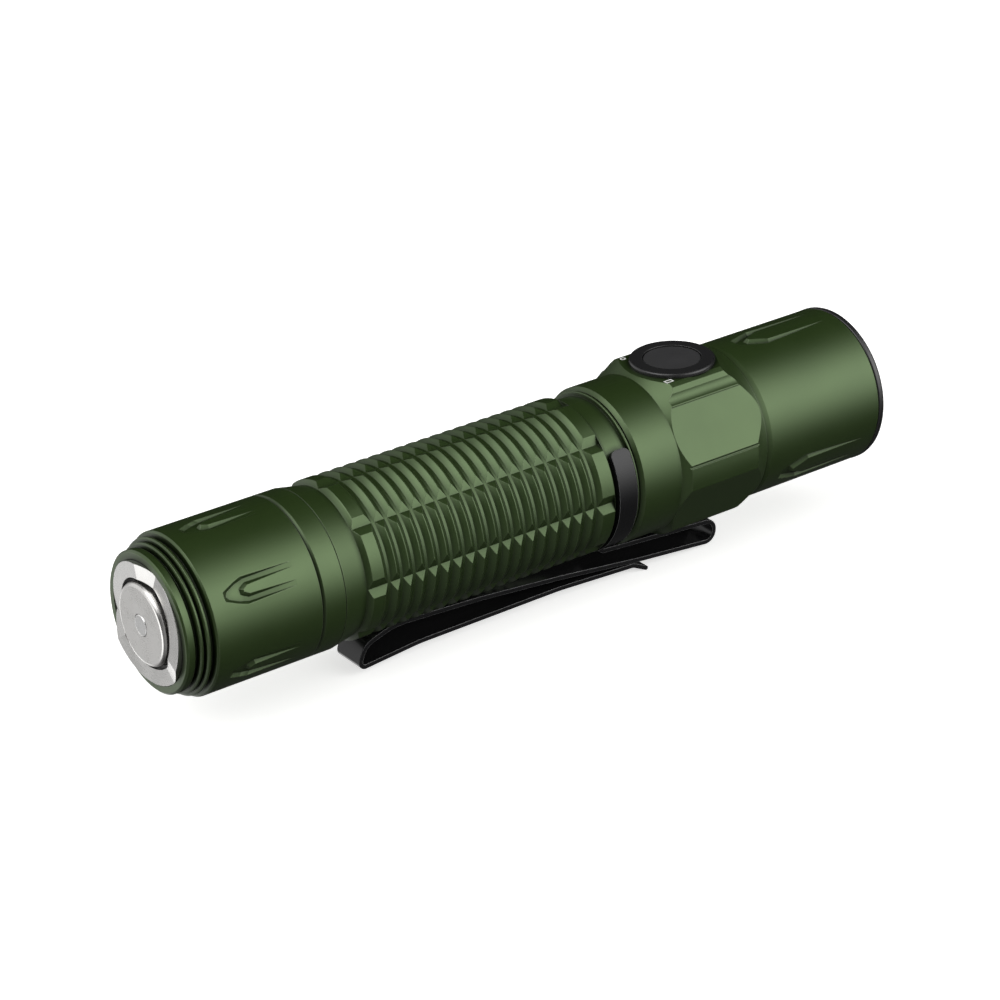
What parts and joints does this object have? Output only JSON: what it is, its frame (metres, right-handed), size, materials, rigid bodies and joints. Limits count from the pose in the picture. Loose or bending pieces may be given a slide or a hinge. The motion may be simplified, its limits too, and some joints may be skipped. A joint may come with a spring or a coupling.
{
  "type": "tactical flashlight",
  "caption": "Cylindrical tactical flashlight with ribbed grip, faceted head, side button, tail button and two-way pocket clip.",
  "frame": {"origin": "under the middle of the light, at the level of the pocket clip's lowest edge", "axes": "+X along the light from tail button to bezel, +Z from the axis to the side button"},
  "size_m": [0.137, 0.0288, 0.0351],
  "materials": {
    "green_anodised": "satin od green anodised",
    "bare_steel": "satin turned stainless",
    "black_anodised": "satin black anodised",
    "black_spring_steel": "gloss black coated spring steel",
    "black_plastic": "matte",
    "black_rubber": "matte rubber",
    "white_plastic": "translucent white window",
    "lens_glass": "clear coated glass",
    "reflector_metal": "fine orange peel reflector",
    "circuit_board": "solder mask",
    "board_copper": "copper core board",
    "spring_brass": "gold plated spring",
    "emitter_phosphor": "phosphor yellow",
    "battery_wrap": "plain shrink wrap",
    "magnet_nickel": "nickel plated"
  },
  "bodies": {
    "light": {"battery_tube": "green_anodised", "rear_oring": "black_rubber", "front_oring": "black_rubber", "battery_cell": "battery_wrap", "battery_insulator": "white_plastic", "battery_positive_cap": "bare_steel", "head_body": "green_anodised", "bezel_ring": "black_anodised", "front_lens": "lens_glass", "lens_oring": "black_rubber", "reflector": "reflector_metal", "led_board": "board_copper", "led_emitter": "emitter_phosphor", "led_gasket": "white_plastic", "driver_board": "circuit_board", "driver_components": "black_plastic", "driver_retainer": "spring_brass", "front_contact_spring": "spring_brass", "side_button_ring": "black_anodised", "side_button_boot": "black_rubber", "side_switch": "black_plastic", "side_switch_board": "circuit_board", "brightness_indicator": "white_plastic", "battery_indicator": "white_plastic"},
    "cap_thread": {"tail_spring": "spring_brass"},
    "cap": {"tail_cap": "green_anodised", "charge_ring": "bare_steel", "tail_insulator": "black_plastic", "tail_boot": "black_rubber", "tail_magnet": "magnet_nickel", "tail_switch": "bare_steel", "tail_board": "circuit_board", "tail_retainer": "spring_brass"},
    "tail_switch_button": {"tail_button": "bare_steel", "tail_button_contact": "bare_steel"},
    "side_switch_button": {"side_button": "black_plastic"},
    "clip": {"pocket_clip": "black_spring_steel"}
  },
  "joints": [
    {"name": "cap_turn_travel", "type": "slide", "parent": "light", "child": "cap_thread", "axis": [-1, 0, 0], "range_m": [0, 0.00713]},
    {"name": "cap_turn", "type": "hinge", "parent": "cap_thread", "child": "cap", "pos_m": [-0.0535, 0, 0.0205], "axis": [-1, 0, 0], "range_deg": [0, 1711]},
    {"name": "tail_button_press", "type": "slide", "parent": "cap", "child": "tail_switch_button", "axis": [1, 0, 0], "range_m": [0, 0.0012], "stiffness_N_per_m": 2500, "springref_m": -0.0008},
    {"name": "side_button_press", "type": "slide", "parent": "light", "child": "side_switch_button", "axis": [0, 0, -1], "range_m": [0, 0.0005], "stiffness_N_per_m": 4000, "springref_m": -0.0004},
    {"name": "clip_turn", "type": "hinge", "parent": "light", "child": "clip", "pos_m": [0.0133, 0, 0.0205], "axis": [1, 0, 0], "range_deg": [-110, 110]}
  ],
  "couplings": [
    {"joint": "cap_turn", "follows": "cap_turn_travel", "rad_per_m": 4188.8}
  ]
}
